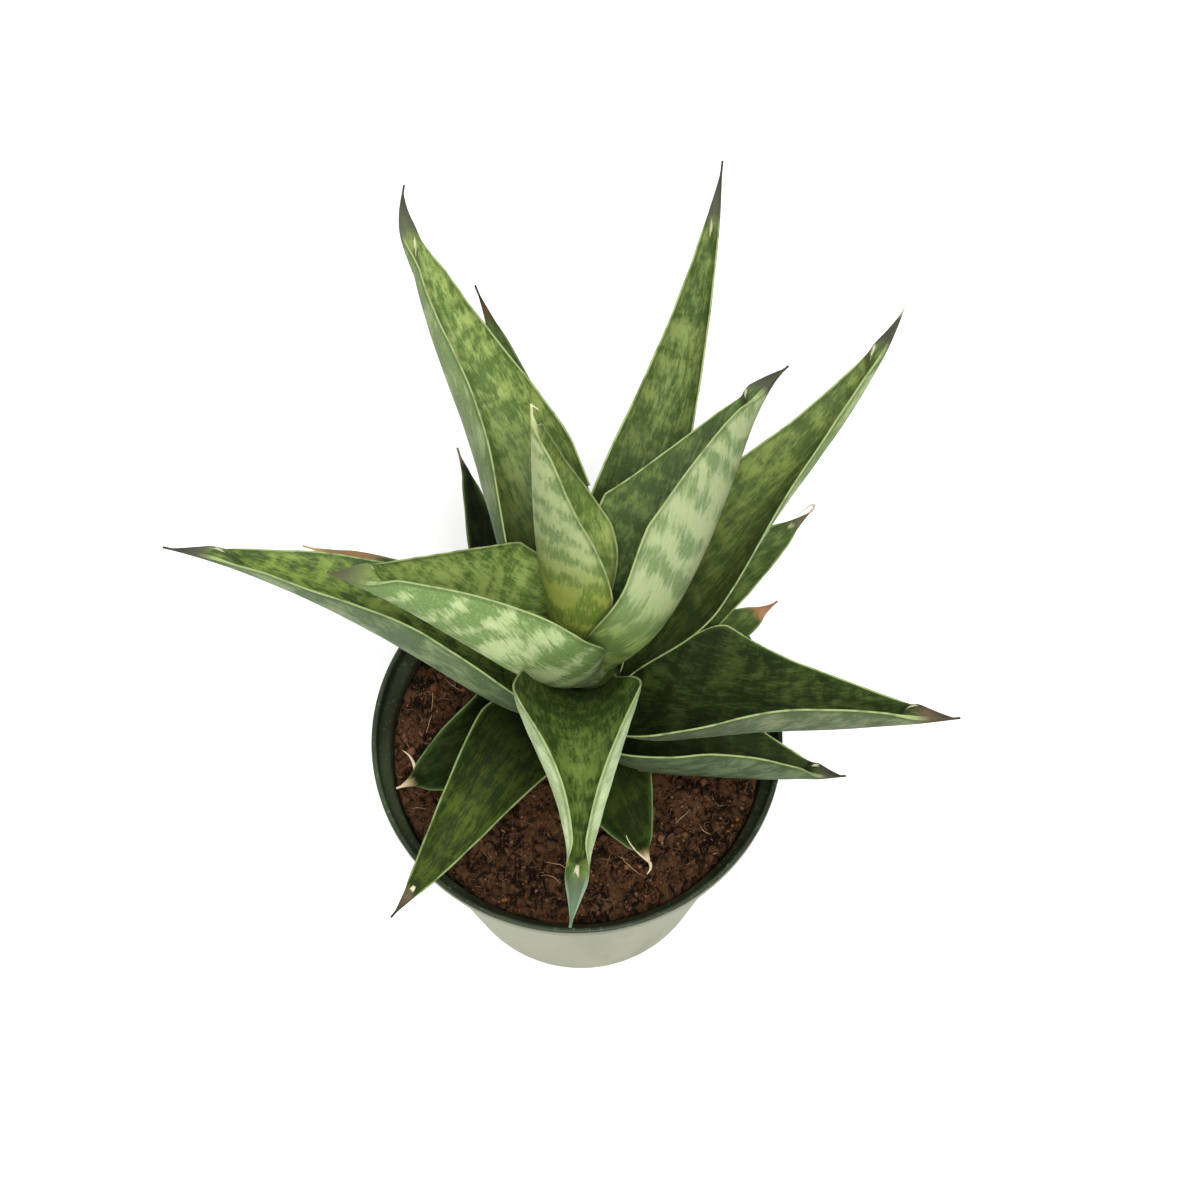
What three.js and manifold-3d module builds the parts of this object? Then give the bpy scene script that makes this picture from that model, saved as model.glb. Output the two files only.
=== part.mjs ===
// A potted snake plant: a small nursery pot, the potting mix in it, and a compact rosette of nineteen stiff,
// channelled leaves round a short stem. Millimetres, +Z up. The origin is the centre of the pot's underside.
import * as THREE from "three";
import { mergeVertices } from "three/addons/utils/BufferGeometryUtils.js";
import Module from "manifold-3d";

const wasm = await Module();
wasm.setup();

// ---- driving dimensions ----------------------------------------------------------------------
const GAP = 0.3; // clearance between pieces that touch on the real plant

const POT = {
  height: 95,
  lipRadius: 54,
  lipThickness: 2.6,
  mouthRadius: 52.6,
  collarRadius: 53.5,
  collarHeight: 5,
  collarFlare: 3, // height over which the wall widens to the collar
  bodyRadius: 50.9, // just under the collar
  baseRadius: 38,
  baseRounding: 1.6,
  wall: 1.3,
  floor: 1.8,
  lipRounding: 0.4,
  sides: 48,
};
const DRAIN = { count: 8, radius: 3.2, circle: 30, sides: 8 };

const SOIL = {
  top: 86,
  clearance: 0.6, // to the pot's wall
  unevenness: 1.2,
  footRounding: 1,
  brim: 2, // height of the even band where it meets the pot's wall
  rings: 5,
  sectors: 32,
  seed: 7,
};

const STEM = { x: 3, y: 12, radius: 10, dome: 38, depth: 24, sides: 24, domeRings: 7 };

const LEAF = {
  rootThickness: 1.3,
  middleThickness: 2.4,
  endThickness: 1.2,
  edgeThickness: 0.75,
  thinnest: 0.6,
  bulkLimit: 0.8, // no thicker than this share of half the width
  edgeFall: 1.6, // power by which the thickness falls from the midrib to the margins
  shoulderWidth: 0.2, // share of the blade's full width where the needle starts
  taperCurve: 1.12,
  needleCurve: 1.2,
  needleShare: 0.62, // radius of the needle as a share of the blade's half width
  needleTip: 0.3,
  needleWrap: 80, // degrees of the needle's section that each half of a face covers
};
// Where along a leaf its form changes, as shares of its length.
const STAGE = {
  widened: 0.3, // the clasping root has reached the blade's width
  creased: [0.1, 0.5],
  folded: [0.35, 0.85], // the channel goes from its middle fold to its end fold
  rolled: 0.6,
  thinned: 0.95,
  bowed: 0.8,
  closing: [0.82, 0.91], // the channel closes into the needle
  shoulder: 0.87,
};
// The rings of a leaf, as shares of its length, and the points across it.
const BIG_LEAF = {
  stations: [0, 0.06, 0.13, 0.21, 0.3, 0.41, 0.53, 0.65, 0.76, 0.84, 0.89, 0.94, 1],
  across: 9,
};
const SMALL_LEAF = {
  stations: [0, 0.1, 0.21, 0.34, 0.5, 0.66, 0.8, 0.88, 0.94, 1],
  across: 7,
};

// The leaves, from the youngest, which stands in the middle, to the oldest, which lies lowest. Each leaf has
// root: azimuth and height above the soil of the point where its midrib leaves the stem
// tip: azimuth and distance from the stem's axis, and height above the ground
// rise: elevation of the midrib at the root and at the tip, and its azimuth at the tip
// pull: how far the two directions in rise hold, as shares of the straight distance from root to tip
// blade: flattened width, and where along the leaf it is widest
// fold: half the angle of the channel at the root, in the middle and at the end
// open: share of the length at which the sheath has opened; crease: 1 is a round channel, less is a V
// roll: turn of the blade about its midrib; bow: sideways bend of the needle
// widened: where the root has reached the blade's width, if that is further out than on the other leaves
// needle: radius of the needle as a share of the blade's half width, if it is slimmer than on the others
const LEAVES = [
  { name: "leaf_06", root: [162, 35], tip: [126, 18.5, 214.5], rise: [72, 92, 127], pull: [0.31, 0.42],
    blade: [47, 0.35], fold: [149, 83, 53], open: 0.49, crease: 0.6, roll: 33, bow: 0, needle: 0.25 },
  { name: "leaf_05", root: [-4, 32], tip: [46.5, 72.5, 169.5], rise: [58, 36, 24], pull: [0.59, 0.21],
    blade: [60, 0.48], fold: [150, 93, 94], open: 0.38, crease: 0.66, roll: -3, bow: 0 },
  { name: "leaf_02", root: [216, 28.5], tip: [189, 57.5, 184], rise: [56, 55, 191], pull: [0.37, 0.43],
    blade: [63, 0.38], fold: [131, 90, 108], open: 0.41, crease: 0.7, roll: 1, bow: 0 },
  { name: "leaf_10", root: [-108, 27], tip: [-92.5, 85, 166], rise: [60, 12, -100], pull: [0.36, 0.46],
    blade: [57, 0.47], fold: [80, 76, 130], open: 0.5, crease: 0.7, roll: 17, bow: 0, widened: 0.7 },
  { name: "leaf_04", root: [58, 24.9], tip: [73, 126, 162.5], rise: [72, 24, 83], pull: [0.25, 0.43],
    blade: [33, 0.24], fold: [82, 67, 77], open: 0.41, crease: 0.7, roll: -6, bow: 0 },
  { name: "leaf_07", root: [26, 21.2], tip: [41.5, 106.5, 168.5], rise: [70, 21, 66], pull: [0.2, 0.41],
    blade: [41, 0.3], fold: [68, 45, 86], open: 0.3, crease: 0.7, roll: -24, bow: 0 },
  { name: "leaf_08", root: [-41, 19.1], tip: [-17.5, 93, 140.5], rise: [42, 26, -5], pull: [0.33, 0.51],
    blade: [53, 0.3], fold: [50, 55, 88], open: 0.27, crease: 0.72, roll: -25, bow: 0 },
  { name: "leaf_03", root: [113, 17.4], tip: [112, 124, 161], rise: [69, 12, 94], pull: [0.31, 0.38],
    blade: [49, 0.38], fold: [50, 96, 92], open: 0.24, crease: 0.7, roll: 38, bow: 2 },
  { name: "leaf_01", root: [203, 9.3], tip: [170.5, 105, 146], rise: [50, 7, 169], pull: [0.34, 0.47],
    blade: [42, 0.44], fold: [68, 79, 62], open: 0.25, crease: 0.7, roll: 6, bow: 0 },
  { name: "leaf_09", root: [-69, 11.5], tip: [-23, 71.5, 102], rise: [32, 6, 0], pull: [0.27, 0.46],
    blade: [46, 0.41], fold: [79, 83, 104], open: 0.33, crease: 0.7, roll: -17, bow: 0 },
  { name: "leaf_11", root: [222, 5.6], tip: [233, 81, 106], rise: [51, 20, 237], pull: [0.34, 0.43],
    blade: [33, 0.26], fold: [50, 71, 69], open: 0.31, crease: 0.7, roll: -3, bow: 0 },
  { name: "leaf_14", root: [37, 9], tip: [35.5, 74, 114], rise: [45, 8, 40], pull: [0.25, 0.45],
    blade: [33, 0.25], fold: [70, 62, 57], open: 0.42, crease: 0.7, roll: 6, bow: 0 },
  { name: "leaf_16", root: [105, 11], tip: [105.5, 112, 126], rise: [30, 17, 113], pull: [0.24, 0.42],
    blade: [27, 0.26], fold: [102, 52, 59], open: 0.4, crease: 0.7, roll: 1, bow: 0, small: true },
  { name: "leaf_17", root: [155, 2.2], tip: [118, 75, 109], rise: [46, 9, 106], pull: [0.33, 0.43],
    blade: [23, 0.28], fold: [51, 47, 52], open: 0.46, crease: 0.7, roll: 0, bow: 0, small: true },
  { name: "leaf_13", root: [-86, 7.2], tip: [-71, 49, 87], rise: [10, 3, -66], pull: [0.2, 0.44],
    blade: [28, 0.34], fold: [50, 52, 35], open: 0.42, crease: 0.7, roll: 0, bow: 0, small: true },
  { name: "leaf_12", root: [207, 1], tip: [207, 56.5, 91], rise: [30, 0, 202], pull: [0.44, 0.43],
    blade: [34, 0.29], fold: [50, 69, 31], open: 0.49, crease: 0.7, roll: -11, bow: 0, small: true },
  { name: "leaf_18", root: [163, 7], tip: [155, 83, 112], rise: [10, 7, 165], pull: [0.25, 0.58],
    blade: [23, 0.28], fold: [50, 54, 45], open: 0.39, crease: 0.7, roll: 0, bow: 0, small: true },
  { name: "leaf_15", root: [28, 3], tip: [25, 56.5, 98], rise: [30, 7, 36], pull: [0.25, 0.45],
    blade: [26, 0.25], fold: [80, 50, 46], open: 0.42, crease: 0.7, roll: 4, bow: 0, small: true },
  { name: "leaf_19", root: [-41, 1], tip: [-26, 52, 94], rise: [18, 2, -19], pull: [0.32, 0.52],
    blade: [26, 0.3], fold: [50, 42, 49], open: 0.4, crease: 0.7, roll: 0, bow: 0, small: true },
];

// ---- small helpers ---------------------------------------------------------------------------
const { lerp, clamp, degToRad, smoothstep } = THREE.MathUtils;
const vec = (x, y, z) => new THREE.Vector3(x, y, z);

// A unit vector with this azimuth and elevation, in degrees.
function heading(azimuth, elevation = 0) {
  const flat = Math.cos(degToRad(elevation));
  const a = degToRad(azimuth);
  return vec(Math.cos(a) * flat, Math.sin(a) * flat, Math.sin(degToRad(elevation)));
}

// A manifold-3d solid from a closed geometry, with the vertices that its faces share merged.
function solidOf(geometry) {
  const bare = geometry.clone();
  bare.deleteAttribute("normal");
  bare.deleteAttribute("uv");
  const merged = mergeVertices(bare, 1e-4);
  return new wasm.Manifold(
    new wasm.Mesh({
      numProp: 3,
      vertProperties: new Float32Array(merged.attributes.position.array),
      triVerts: new Uint32Array(merged.index.array),
    }),
  );
}

// The largest body of a solid: a cut may leave loose scraps of a leaf's sheath.
function mainBody(solid) {
  return solid.decompose().reduce((a, b) => (a.volume() > b.volume() ? a : b));
}

function geometryOf(solid) {
  const mesh = solid.getMesh();
  const geometry = new THREE.BufferGeometry();
  const points = [];
  for (let i = 0; i < mesh.numVert; i++) {
    points.push(...mesh.vertProperties.subarray(i * mesh.numProp, i * mesh.numProp + 3));
  }
  geometry.setAttribute("position", new THREE.Float32BufferAttribute(points, 3));
  geometry.setIndex(new THREE.BufferAttribute(mesh.triVerts, 1));
  const flat = geometry.toNonIndexed();
  flat.computeVertexNormals();
  return flat;
}

// A lathe whose profile of [radius, height] points turns round +Z.
function turned(profile, sides) {
  const outline = profile.map(([radius, height]) => new THREE.Vector2(radius, height));
  return new THREE.LatheGeometry(outline, sides).rotateX(Math.PI / 2);
}

// A closed skin from two grids of points with the same rows and columns, front and back.
function skin(front, back) {
  const rows = front.length;
  const columns = front[0].length;
  const last = columns - 1;
  const points = [...front.flat(), ...back.flat()];
  const at = (side, row, column) => side * rows * columns + row * columns + column;
  const faces = [];
  const quad = (a, b, c, d) => faces.push(a, b, c, a, c, d);
  for (let i = 0; i + 1 < rows; i++) {
    for (let j = 0; j + 1 < columns; j++) {
      quad(at(0, i, j), at(0, i, j + 1), at(0, i + 1, j + 1), at(0, i + 1, j));
      quad(at(1, i, j), at(1, i + 1, j), at(1, i + 1, j + 1), at(1, i, j + 1));
    }
    quad(at(0, i, 0), at(0, i + 1, 0), at(1, i + 1, 0), at(1, i, 0));
    quad(at(0, i, last), at(1, i, last), at(1, i + 1, last), at(0, i + 1, last));
  }
  for (let j = 0; j + 1 < columns; j++) {
    quad(at(0, 0, j), at(1, 0, j), at(1, 0, j + 1), at(0, 0, j + 1));
    quad(at(0, rows - 1, j), at(0, rows - 1, j + 1), at(1, rows - 1, j + 1), at(1, rows - 1, j));
  }
  const geometry = new THREE.BufferGeometry().setFromPoints(points);
  geometry.setIndex(faces);
  return geometry;
}

// Repeatable noise in -1..1.
function seededNoise(seed) {
  let state = seed;
  return () => {
    state = (state * 16807) % 2147483647;
    return (state / 2147483647) * 2 - 1;
  };
}

// ---- pot -------------------------------------------------------------------------------------
// The pot's radius outside its wall, under the collar.
function bodyRadius(height) {
  return lerp(POT.baseRadius, POT.bodyRadius, height / (POT.height - POT.lipThickness - POT.collarHeight));
}

function potSolid() {
  const collarTop = POT.height - POT.lipThickness;
  const collarFoot = collarTop - POT.collarHeight;
  const shell = turned(
    [
      [0, 0],
      [POT.baseRadius - POT.baseRounding, 0],
      [bodyRadius(POT.baseRounding), POT.baseRounding],
      [POT.bodyRadius, collarFoot],
      [POT.collarRadius, collarFoot + POT.collarFlare],
      [POT.collarRadius, collarTop],
      [POT.lipRadius, collarTop],
      [POT.lipRadius, POT.height - POT.lipRounding],
      [POT.lipRadius - POT.lipRounding, POT.height],
      [POT.mouthRadius + POT.lipRounding, POT.height],
      [POT.mouthRadius, POT.height - POT.lipRounding],
      [POT.mouthRadius, collarFoot + POT.collarFlare],
      [POT.bodyRadius - POT.wall, collarFoot],
      [bodyRadius(POT.floor) - POT.wall, POT.floor],
      [0, POT.floor],
    ],
    POT.sides,
  );
  let pot = solidOf(shell);
  for (let i = 0; i < DRAIN.count; i++) {
    const hole = new THREE.CylinderGeometry(DRAIN.radius, DRAIN.radius, 4 * POT.floor, DRAIN.sides);
    hole.rotateX(Math.PI / 2);
    const place = heading((360 / DRAIN.count) * (i + 0.5)).multiplyScalar(DRAIN.circle);
    hole.translate(place.x, place.y, 0);
    pot = pot.subtract(solidOf(hole));
  }
  return pot;
}

// ---- stem and soil ---------------------------------------------------------------------------
function stemRadius(height) {
  return STEM.radius * Math.sqrt(Math.max(0, 1 - (height / STEM.dome) ** 2));
}

// The stem, or the room for it where grow is above 0.
function stemSolid(grow = 0) {
  const profile = [
    [0, SOIL.top - STEM.depth - grow],
    [STEM.radius + grow, SOIL.top - STEM.depth - grow],
  ];
  for (let i = 0; i <= STEM.domeRings; i++) {
    const angle = (Math.PI / 2) * (i / STEM.domeRings);
    const radius = i === STEM.domeRings ? 0 : (STEM.radius + grow) * Math.cos(angle);
    profile.push([radius, SOIL.top + (STEM.dome + grow) * Math.sin(angle)]);
  }
  return solidOf(turned(profile, STEM.sides).translate(STEM.x, STEM.y, 0));
}

function soilSolid() {
  const noise = seededNoise(SOIL.seed);
  const foot = POT.floor + GAP;
  const brim = SOIL.top - SOIL.brim;
  const radiusAt = (height) => bodyRadius(height) - POT.wall - SOIL.clearance;
  const rings = [
    { radius: radiusAt(foot) - SOIL.footRounding, height: foot },
    { radius: radiusAt(foot), height: foot + SOIL.footRounding },
    { radius: radiusAt(brim), height: brim },
  ];
  for (let i = SOIL.rings; i > 0; i--) {
    const radius = ((radiusAt(brim) - SOIL.footRounding) * i) / SOIL.rings;
    rings.push({ radius, height: SOIL.top, rough: SOIL.unevenness / 2 });
  }
  const points = [vec(0, 0, foot), vec(0, 0, SOIL.top)];
  for (const ring of rings) {
    for (let j = 0; j < SOIL.sectors; j++) {
      const place = heading((360 * j) / SOIL.sectors).multiplyScalar(ring.radius);
      points.push(place.setZ(ring.height + noise() * (ring.rough ?? 0)));
    }
  }
  const at = (ring, sector) => 2 + ring * SOIL.sectors + (sector % SOIL.sectors);
  const faces = [];
  for (let j = 0; j < SOIL.sectors; j++) {
    faces.push(0, at(0, j + 1), at(0, j));
    for (let i = 0; i + 1 < rings.length; i++) {
      faces.push(at(i, j), at(i, j + 1), at(i + 1, j + 1));
      faces.push(at(i, j), at(i + 1, j + 1), at(i + 1, j));
    }
    faces.push(at(rings.length - 1, j), at(rings.length - 1, j + 1), 1);
  }
  const geometry = new THREE.BufferGeometry().setFromPoints(points);
  geometry.setIndex(faces);
  return solidOf(geometry).subtract(stemSolid(GAP));
}

// ---- leaves ----------------------------------------------------------------------------------
const CURVE_STEPS = 64;
const SECTION_STEPS = 24;

// The radius at which a leaf's root clasps the stem, outside its thickness.
function claspRadius(height) {
  return stemRadius(height) + GAP + LEAF.rootThickness;
}

// The midrib as a list of steps along a Bezier curve, each with its place, direction, normal and the distance
// run so far. The normal points into the channel and turns as little as it can along the curve.
function midrib(leaf) {
  const [rootAzimuth, rootHeight] = leaf.root;
  const [tipAzimuth, reach, tipHeight] = leaf.tip;
  const [startRise, endRise, endAzimuth] = leaf.rise;
  const rootRadius = claspRadius(rootHeight);
  const axis = vec(STEM.x, STEM.y, 0);
  const root = heading(rootAzimuth).multiplyScalar(rootRadius).add(axis).setZ(SOIL.top + rootHeight);
  const tip = heading(tipAzimuth).multiplyScalar(reach).add(axis).setZ(tipHeight);
  const span = root.distanceTo(tip);
  const nearRoot = root.clone().addScaledVector(heading(rootAzimuth, startRise), leaf.pull[0] * span);
  const nearTip = tip.clone().addScaledVector(heading(endAzimuth, endRise), -leaf.pull[1] * span);
  const curve = new THREE.CubicBezierCurve3(root, nearRoot, nearTip, tip);
  const steps = [];
  const normal = heading(rootAzimuth).negate();
  for (let i = 0; i <= CURVE_STEPS; i++) {
    const place = curve.getPoint(i / CURVE_STEPS);
    const direction = curve.getTangent(i / CURVE_STEPS);
    normal.addScaledVector(direction, -normal.dot(direction)).normalize();
    const run = i ? steps[i - 1].run + place.distanceTo(steps[i - 1].place) : 0;
    steps.push({ place, direction, normal: normal.clone(), run });
  }
  return steps;
}

// The step of a midrib at a share of its length.
function alongMidrib(steps, share) {
  const run = share * steps[CURVE_STEPS].run;
  const next = clamp(steps.findIndex((step) => step.run >= run), 1, CURVE_STEPS);
  const [a, b] = [steps[next - 1], steps[next]];
  const part = (run - a.run) / (b.run - a.run);
  return {
    place: a.place.clone().lerp(b.place, part),
    direction: a.direction.clone().lerp(b.direction, part).normalize(),
    normal: a.normal.clone().lerp(b.normal, part).normalize(),
  };
}

// Half the blade's flattened width at a share of the length: a straight taper, then the slim needle.
function halfWidth(leaf, share) {
  const [width, widest] = leaf.blade;
  const tapered = clamp((share - widest) / (STAGE.shoulder - widest), 0, 1) ** LEAF.taperCurve;
  const remaining = clamp((1 - share) / (1 - STAGE.shoulder), 0, 1) ** LEAF.needleCurve;
  const onNeedle = share >= STAGE.shoulder;
  return (width / 2) * (onNeedle ? LEAF.shoulderWidth * remaining : lerp(1, LEAF.shoulderWidth, tapered));
}

// The thickness on the midrib: thin in the sheath, thickest a third of the way up.
function middleThickness(share) {
  return share < STAGE.widened
    ? lerp(LEAF.rootThickness, LEAF.middleThickness, smoothstep(share, 0, STAGE.widened))
    : lerp(LEAF.middleThickness, LEAF.endThickness, smoothstep(share, STAGE.widened, STAGE.thinned));
}

// A point of the channel's outer face as [across, inward, turn]. The face bends as it runs from the midrib to
// the margin, where u is -1 or 1, and its turn is its slope there.
function channelPoint(half, fold, crease, u) {
  const reach = Math.abs(u);
  let across = 0;
  let inward = 0;
  for (let i = 0; i < SECTION_STEPS; i++) {
    const slope = fold * (reach * ((i + 0.5) / SECTION_STEPS)) ** crease;
    across += (half * u * Math.cos(slope)) / SECTION_STEPS;
    inward += (half * reach * Math.sin(slope)) / SECTION_STEPS;
  }
  return [across, inward, fold * reach ** crease * Math.sign(u)];
}

// One ring of the leaf: its outer and inner points from margin to margin. The root clasps the stem as part of
// a circle, the blade is an open channel, and past the shoulder the channel closes into a round needle.
function leafRing(leaf, steps, share, count, grow) {
  const { place, direction, normal } = alongMidrib(steps, share);
  const side = normal.clone().cross(direction);
  const roll = degToRad(leaf.roll) * smoothstep(share, 0, STAGE.rolled);
  side.applyAxisAngle(direction, roll);
  normal.applyAxisAngle(direction, roll);
  const towardsTip = clamp((share - STAGE.bowed) / (1 - STAGE.bowed), 0, 1);
  place.addScaledVector(side, leaf.bow * Math.sin(Math.PI * towardsTip));

  const [rootFold, middleFold, endFold] = leaf.fold.map(degToRad);
  const blade = halfWidth(leaf, share);
  const clasp = rootFold * claspRadius(leaf.root[1]);
  const half = lerp(clasp, blade, smoothstep(share, 0, leaf.widened ?? STAGE.widened)) + grow;
  const bladeFold = lerp(middleFold, endFold, smoothstep(share, ...STAGE.folded));
  const fold = lerp(rootFold, bladeFold, smoothstep(share, 0, leaf.open));
  const crease = lerp(1, leaf.crease, smoothstep(share, ...STAGE.creased));
  const closing = smoothstep(share, ...STAGE.closing);
  const needle = Math.max(LEAF.needleTip, (leaf.needle ?? LEAF.needleShare) * blade);

  const outer = [];
  const inner = [];
  for (let j = 0; j < count; j++) {
    const u = (2 * j) / (count - 1) - 1;
    const [across, inward, turn] = channelPoint(half, fold, crease, u);
    const wanted = lerp(middleThickness(share), LEAF.edgeThickness, Math.abs(u) ** LEAF.edgeFall);
    const thickness = Math.min(wanted, Math.max(LEAF.thinnest, LEAF.bulkLimit * half));
    const wrap = u * degToRad(LEAF.needleWrap);
    // offset is the distance inward from the outer face; sign is the side of the needle's axis
    const point = (offset, sign) => {
      const radius = needle + grow;
      const x = lerp(across - offset * Math.sin(turn), radius * Math.sin(wrap), closing);
      const y = lerp(inward + offset * Math.cos(turn), needle + sign * radius * Math.cos(wrap), closing);
      return place.clone().addScaledVector(side, x).addScaledVector(normal, y);
    };
    outer.push(point(-grow, -1));
    inner.push(point(thickness + grow, 1));
  }
  return { outer, inner };
}

function leafSolid(leaf, grow = 0) {
  const { stations, across } = leaf.small ? SMALL_LEAF : BIG_LEAF;
  const steps = midrib(leaf);
  const rings = stations.map((share) => leafRing(leaf, steps, share, across, grow));
  return solidOf(skin(rings.map((ring) => ring.outer), rings.map((ring) => ring.inner)));
}

// ---- the plant -------------------------------------------------------------------------------
const MATERIALS = {
  pot: { color: 0xaeb49a, roughness: 0.45, metalness: 0 },
  soil: { color: 0x4a2e22, roughness: 0.95, metalness: 0 },
  stem: { color: 0xa9b272, roughness: 0.6, metalness: 0 },
  leaf: { color: 0x51692f, roughness: 0.5, metalness: 0 },
};

const plant = new THREE.Group();
plant.name = "potted_snake_plant";

function place(name, solid, material) {
  const mesh = new THREE.Mesh(geometryOf(solid), new THREE.MeshStandardMaterial(MATERIALS[material]));
  mesh.name = name;
  plant.add(mesh);
}

place("pot", potSolid(), "pot");
place("soil", soilSolid(), "soil");
place("stem", stemSolid(), "stem");

// Each leaf is cut clear of the stem and of every younger leaf that it clasps.
let taken = stemSolid(GAP);
for (const leaf of LEAVES) {
  place(leaf.name, mainBody(leafSolid(leaf).subtract(taken)), "leaf");
  taken = taken.add(leafSolid(leaf, GAP));
}

export default plant;
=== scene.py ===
"""A potted snake plant: fine leaves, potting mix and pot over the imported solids. Metres, +Z up.

The leaves follow the solids' named values, with more rings and with thinner, rounded margins. Lengths are
millimetres up to the meshes, which are made in metres. The lights' places and sizes are in metres too.
"""

import math

import bmesh
import bpy
import numpy as np
from mathutils import Matrix, Vector, noise
from mathutils.kdtree import KDTree


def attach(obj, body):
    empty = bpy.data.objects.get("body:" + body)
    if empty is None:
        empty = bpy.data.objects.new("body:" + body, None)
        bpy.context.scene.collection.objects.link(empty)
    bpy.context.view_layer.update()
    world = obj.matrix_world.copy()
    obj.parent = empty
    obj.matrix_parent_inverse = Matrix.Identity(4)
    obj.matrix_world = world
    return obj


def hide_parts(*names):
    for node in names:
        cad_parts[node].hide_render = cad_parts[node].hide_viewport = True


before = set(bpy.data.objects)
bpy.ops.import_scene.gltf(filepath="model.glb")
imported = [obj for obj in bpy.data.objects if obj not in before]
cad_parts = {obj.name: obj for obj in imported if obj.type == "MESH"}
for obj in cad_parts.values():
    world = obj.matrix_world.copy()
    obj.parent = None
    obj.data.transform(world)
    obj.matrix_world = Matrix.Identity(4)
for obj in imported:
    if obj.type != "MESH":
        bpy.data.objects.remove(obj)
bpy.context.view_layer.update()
MM = 0.001

# ---- values shared with the solids ----
GAP = 0.3
SOIL_TOP = 86.0
STEM_X, STEM_Y, STEM_RADIUS, STEM_DOME = 3.0, 12.0, 10.0, 38.0
POT = dict(
    height=95.0,
    lip=54.0,
    lip_thickness=2.6,
    mouth=52.6,
    collar=53.5,
    collar_height=5.0,
    collar_flare=3.0,
    body=50.9,
    base=38.0,
    wall=1.3,
    floor=1.8,
)
DRAIN_COUNT, DRAIN_RADIUS, DRAIN_CIRCLE = 8, 3.2, 30.0

# ---- the pot: values of the scene alone ----
DRAIN_SIDES, POT_SIDES = 24, 144
COLLAR_ZONE, RIM_ZONE = 0.12, 0.28  # how much of the dark plastic shows on the collar and the lip's side

# ---- the potting mix: values of the scene alone ----
SOIL_SINK = 0.5  # the mean surface lies this much under the solid's top
# lumps, crumbs and grit of the surface: height, fineness per mm, octaves, seed
SOIL_RELIEF = ((1.1, 0.1, 3, 3.0), (0.8, 0.33, 3, 8.0), (0.34, 1.2, 2, 5.0))
SOIL_HEAP, HEAP_SPAN = 1.6, (20.0, 48.0)  # the mix lies higher against the pot's wall on the left
SOIL_RINGS, SOIL_SECTORS = 84, 240
SOIL_SEED = 41
CRUMB_COUNT, CRUMB_CIRCLE, CRUMB_LIMIT = 1500, 48.2, 48.6
OCTAHEDRON = ((1, 0, 0), (-1, 0, 0), (0, 1, 0), (0, -1, 0), (0, 0, 1), (0, 0, -1))
OCTAHEDRON_FACES = ((0, 2, 4), (2, 1, 4), (1, 3, 4), (3, 0, 4), (2, 0, 5), (1, 2, 5), (3, 1, 5), (0, 3, 5))
FIBRE_COUNT, PALE_FIBRES, FIBRE_CIRCLE, FIBRE_LIMIT, FIBRE_STEPS = 360, 30, 46.5, 47.6, 9

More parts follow.
